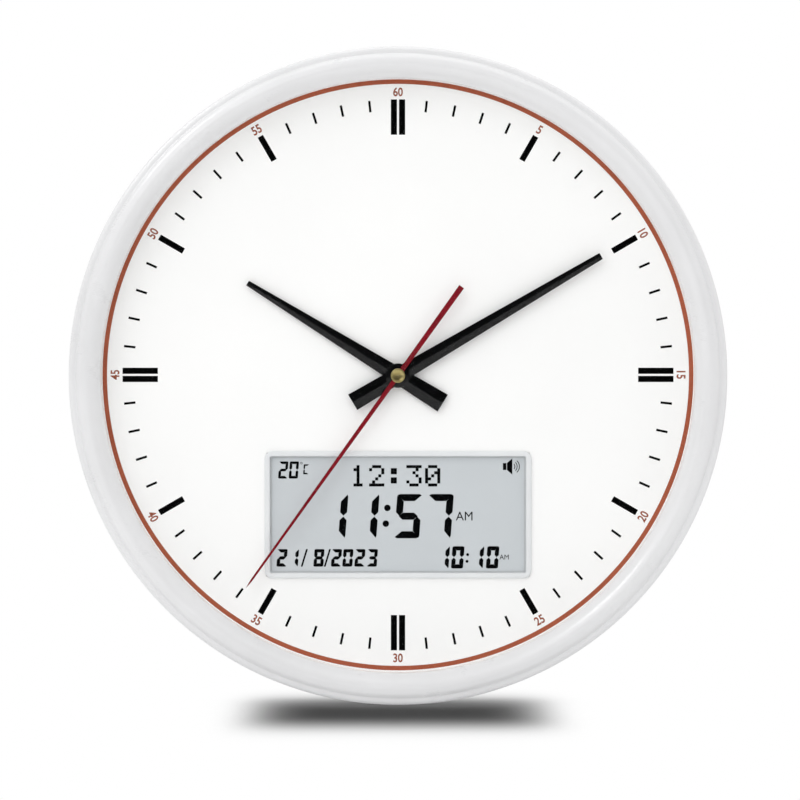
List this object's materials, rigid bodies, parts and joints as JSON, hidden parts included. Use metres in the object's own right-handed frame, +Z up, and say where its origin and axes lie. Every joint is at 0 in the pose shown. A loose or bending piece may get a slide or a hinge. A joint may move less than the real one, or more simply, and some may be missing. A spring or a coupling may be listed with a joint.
{
  "type": "wall clock",
  "caption": "Round white wall clock with analogue hands, a digital prayer-time display, rear keys and a speaker.",
  "frame": {"origin": "centre of the back rim's wall face, on the hands' axis", "axes": "+Y points into the wall, the dial faces -Y, +Z is up, +X is right as seen from the front"},
  "size_m": [0.32, 0.044, 0.32],
  "materials": {
    "white_gloss": "glossy moulded white plastic",
    "white_matte": "fine matt moulded plastic",
    "clear_pane": "clear flat pane",
    "dial_print": "white matt dial, printed",
    "hand_black": "black semi-gloss enamel",
    "hand_red": "dark red semi-gloss enamel",
    "brass": "turned brass",
    "rubber_black": "soft black rubber",
    "gear_white": "acetal, natural white",
    "gear_black": "acetal, black",
    "movement_black": "black moulded plastic, spark-eroded grain",
    "movement_clear": "dark grey moulded plastic",
    "lamination": "bare stamped steel",
    "winding": "enamelled copper wire",
    "board_green": "green circuit board",
    "plated_steel": "nickel-plated steel",
    "screw_zinc": "zinc-plated steel",
    "cell_jacket": "plain dark cell jacket",
    "display_grey": "pale grey display film",
    "display_glass": "thin clear glass",
    "reflector": "satin reflector foil",
    "conductive_rubber": "layered conductive rubber",
    "chip_black": "black potting",
    "key_grey": "dark grey key plastic",
    "switch_steel": "pressed steel can",
    "paper_cone": "black pressed paper",
    "ferrite": "dark grey ferrite"
  },
  "bodies": {
    "case": {"front_frame": "white_gloss", "lens": "clear_pane", "dial_spacer_ring": "white_matte", "dial_plate": "dial_print", "rear_cover": "white_matte", "case_screws": "screw_zinc", "hand_nut": "brass", "nut_washer": "brass", "dial_washer": "rubber_black", "middle_plate": "movement_clear", "movement_case": "movement_black", "movement_cover": "movement_black", "stator": "lamination", "coil": "winding", "movement_board": "board_green", "quartz_crystal": "plated_steel", "movement_cell": "cell_jacket", "movement_contacts": "plated_steel", "lcd_frame": "white_gloss", "lcd_polariser": "display_grey", "lcd_front_glass": "display_glass", "lcd_rear_glass": "display_glass", "lcd_reflector": "reflector", "lcd_holder": "white_matte", "contact_strips": "conductive_rubber", "main_board": "board_green", "board_chips": "chip_black", "module_screws": "screw_zinc", "tact_switches": "switch_steel", "slide_switch": "switch_steel", "speaker_basket": "switch_steel", "speaker_cone": "paper_cone", "speaker_magnet": "ferrite", "speaker_screws": "screw_zinc", "battery_contacts": "plated_steel", "battery_cell_upper": "cell_jacket", "battery_cell_lower": "cell_jacket"},
    "seconds": {"second_wheel": "gear_white", "second_hand": "hand_red", "second_hand_cap": "brass"},
    "third_arbor": {"third_wheel": "gear_white"},
    "minutes": {"centre_wheel": "gear_black", "minute_hand": "hand_black"},
    "motion_wheel": {"minute_wheel": "gear_white"},
    "hours": {"hour_wheel": "gear_black", "hour_hand": "hand_black"},
    "setting": {"setting_knob": "gear_black"},
    "intermediate_arbor": {"intermediate_wheel": "gear_white"},
    "rotor": {"rotor": "gear_black"},
    "switch_lever": {"switch_knob": "key_grey"},
    "battery_lid": {"battery_door": "white_matte"},
    "key_1": {"push_key_1": "key_grey"},
    "key_2": {"push_key_2": "key_grey"},
    "key_3": {"push_key_3": "key_grey"},
    "key_4": {"push_key_4": "key_grey"},
    "key_5": {"push_key_5": "key_grey"}
  },
  "joints": [
    {"name": "second_spin", "type": "hinge", "parent": "case", "child": "seconds", "pos_m": [0, -0.022, 0], "axis": [0, 1, 0], "continuous": true},
    {"name": "third_spin", "type": "hinge", "parent": "case", "child": "third_arbor", "pos_m": [-0.00933, -0.022, 0.00539], "axis": [0, 1, 0], "continuous": true},
    {"name": "minute_spin", "type": "hinge", "parent": "case", "child": "minutes", "pos_m": [0, -0.022, 0], "axis": [0, 1, 0], "continuous": true},
    {"name": "motion_spin", "type": "hinge", "parent": "case", "child": "motion_wheel", "pos_m": [0.00499, -0.022, 0.00864], "axis": [0, 1, 0], "continuous": true},
    {"name": "hour_spin", "type": "hinge", "parent": "case", "child": "hours", "pos_m": [0, -0.022, 0], "axis": [0, 1, 0], "continuous": true},
    {"name": "setting_spin", "type": "hinge", "parent": "case", "child": "setting", "pos_m": [0.01407, -0.022, 0.01524], "axis": [0, 1, 0], "continuous": true},
    {"name": "intermediate_spin", "type": "hinge", "parent": "case", "child": "intermediate_arbor", "pos_m": [0.00888, -0.022, 0], "axis": [0, 1, 0], "continuous": true},
    {"name": "rotor_spin", "type": "hinge", "parent": "case", "child": "rotor", "pos_m": [0.01532, -0.022, -0.00114], "axis": [0, 1, 0], "continuous": true},
    {"name": "key_1_press", "type": "slide", "parent": "case", "child": "key_1", "axis": [0, -1, 0], "range_m": [0, 0.0005], "stiffness_N_per_m": 400, "springref_m": -0.004},
    {"name": "key_2_press", "type": "slide", "parent": "case", "child": "key_2", "axis": [0, -1, 0], "range_m": [0, 0.0005], "stiffness_N_per_m": 400, "springref_m": -0.004},
    {"name": "key_3_press", "type": "slide", "parent": "case", "child": "key_3", "axis": [0, -1, 0], "range_m": [0, 0.0005], "stiffness_N_per_m": 400, "springref_m": -0.004},
    {"name": "key_4_press", "type": "slide", "parent": "case", "child": "key_4", "axis": [0, -1, 0], "range_m": [0, 0.0005], "stiffness_N_per_m": 400, "springref_m": -0.004},
    {"name": "key_5_press", "type": "slide", "parent": "case", "child": "key_5", "axis": [0, -1, 0], "range_m": [0, 0.0005], "stiffness_N_per_m": 400, "springref_m": -0.004},
    {"name": "switch_slide", "type": "slide", "parent": "case", "child": "switch_lever", "axis": [1, 0, 0], "range_m": [0, 0.002]},
    {"name": "battery_lid_slide", "type": "slide", "parent": "case", "child": "battery_lid", "axis": [0, 0, -1], "range_m": [0, 0.036]}
  ],
  "couplings": [
    {"joint": "third_spin", "follows": "second_spin", "ratio": -0.13333},
    {"joint": "intermediate_spin", "follows": "second_spin", "ratio": -6},
    {"joint": "minute_spin", "follows": "second_spin", "ratio": 0.016667},
    {"joint": "motion_spin", "follows": "second_spin", "ratio": -0.0055556},
    {"joint": "hour_spin", "follows": "second_spin", "ratio": 0.0013889},
    {"joint": "setting_spin", "follows": "second_spin", "ratio": 0.011111},
    {"joint": "rotor_spin", "follows": "second_spin", "ratio": 30}
  ]
}
